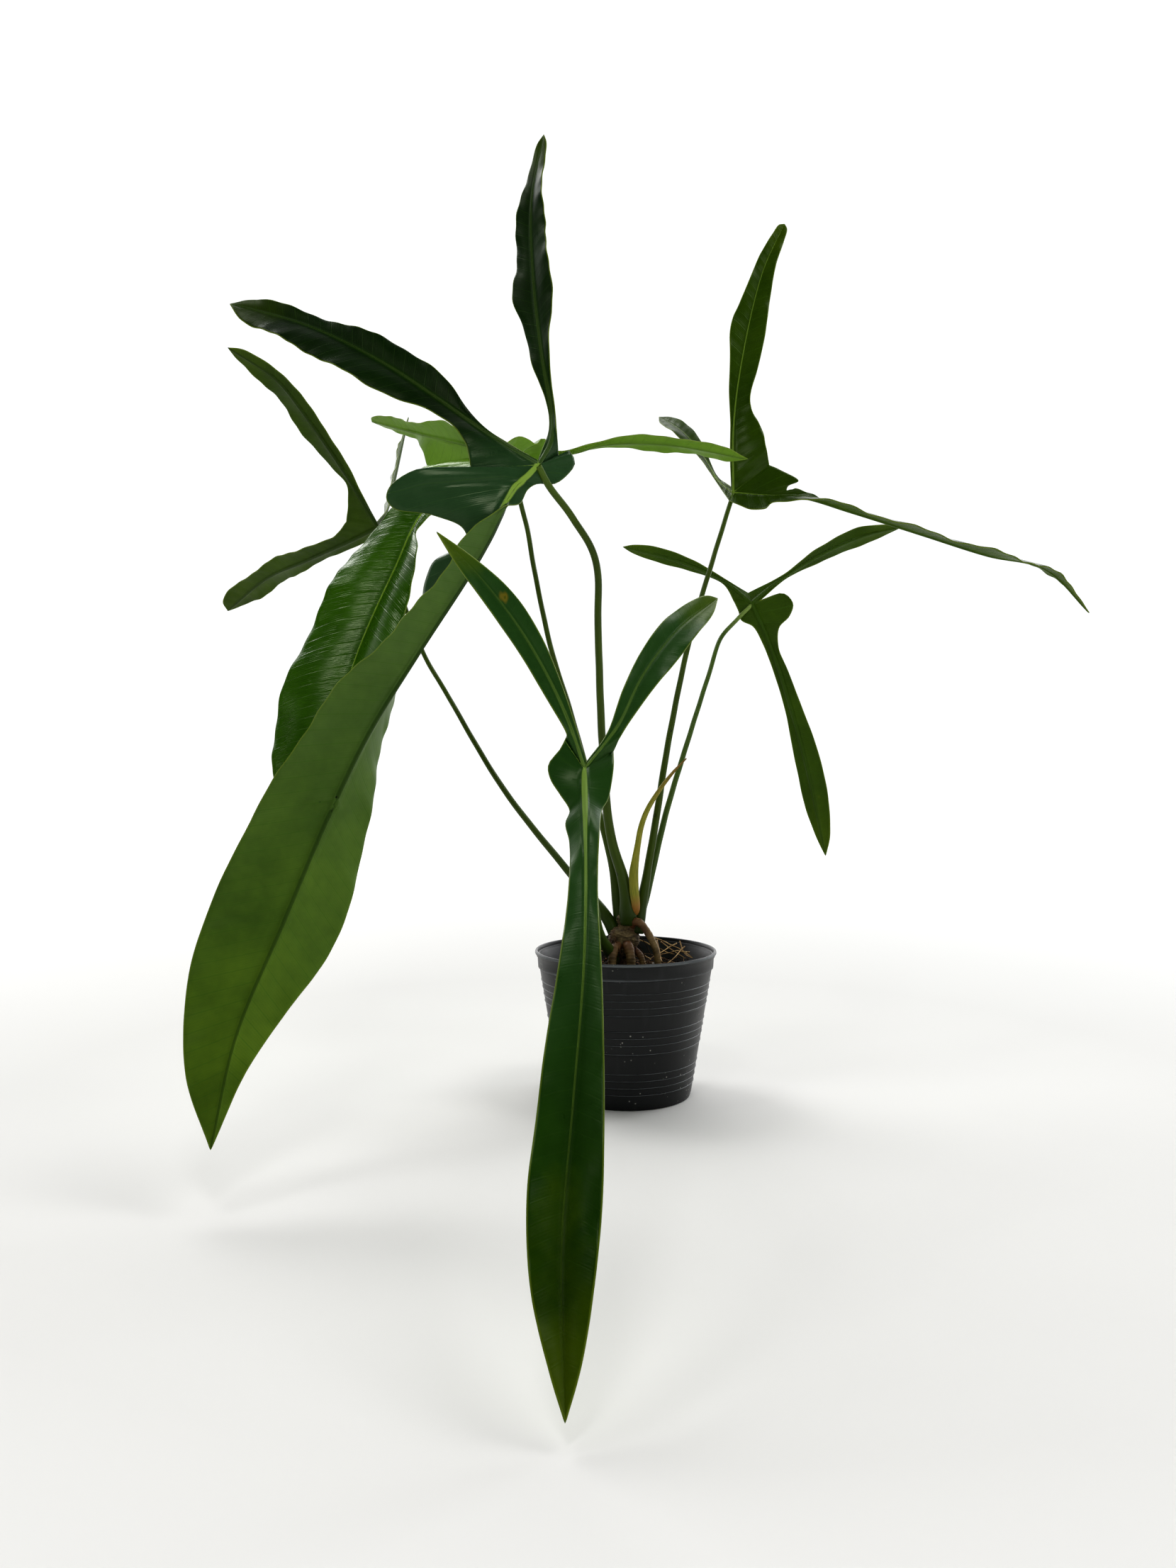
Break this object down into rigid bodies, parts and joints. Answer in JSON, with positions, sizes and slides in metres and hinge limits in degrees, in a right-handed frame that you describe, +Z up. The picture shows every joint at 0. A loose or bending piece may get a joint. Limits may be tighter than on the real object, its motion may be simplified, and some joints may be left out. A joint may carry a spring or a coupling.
{
  "type": "potted philodendron",
  "caption": "Potted aroid house plant: long, dark green three-lobed leaves on thin arching petioles, rising from a short rooted stem in a round dark nursery pot of soil.",
  "frame": {"origin": "centre of the pot's underside, on the surface the pot stands on", "axes": "+Z up along the pot's axis; -Y towards the viewer of the picture; +X to that viewer's right"},
  "size_m": [0.7129, 0.6703, 0.6781],
  "materials": {
    "pot": "moulded, satin",
    "soil": "loose bark and peat mix, matt",
    "stem": "corky, matt",
    "sheath": "papery, satin",
    "petiole": "smooth, satin",
    "blade": "leathery, glossy above"
  },
  "bodies": {
    "root": {"pot": "pot", "soil": "soil", "stem": "stem", "cataphyll": "sheath", "petiole_a": "petiole", "petiole_b": "petiole", "petiole_c": "petiole", "petiole_d": "petiole", "petiole_e": "petiole", "petiole_f": "petiole", "blade_a": "blade", "blade_b": "blade", "blade_c": "blade", "blade_d": "blade", "blade_e": "blade", "blade_f": "blade"}
  },
  "joints": []
}
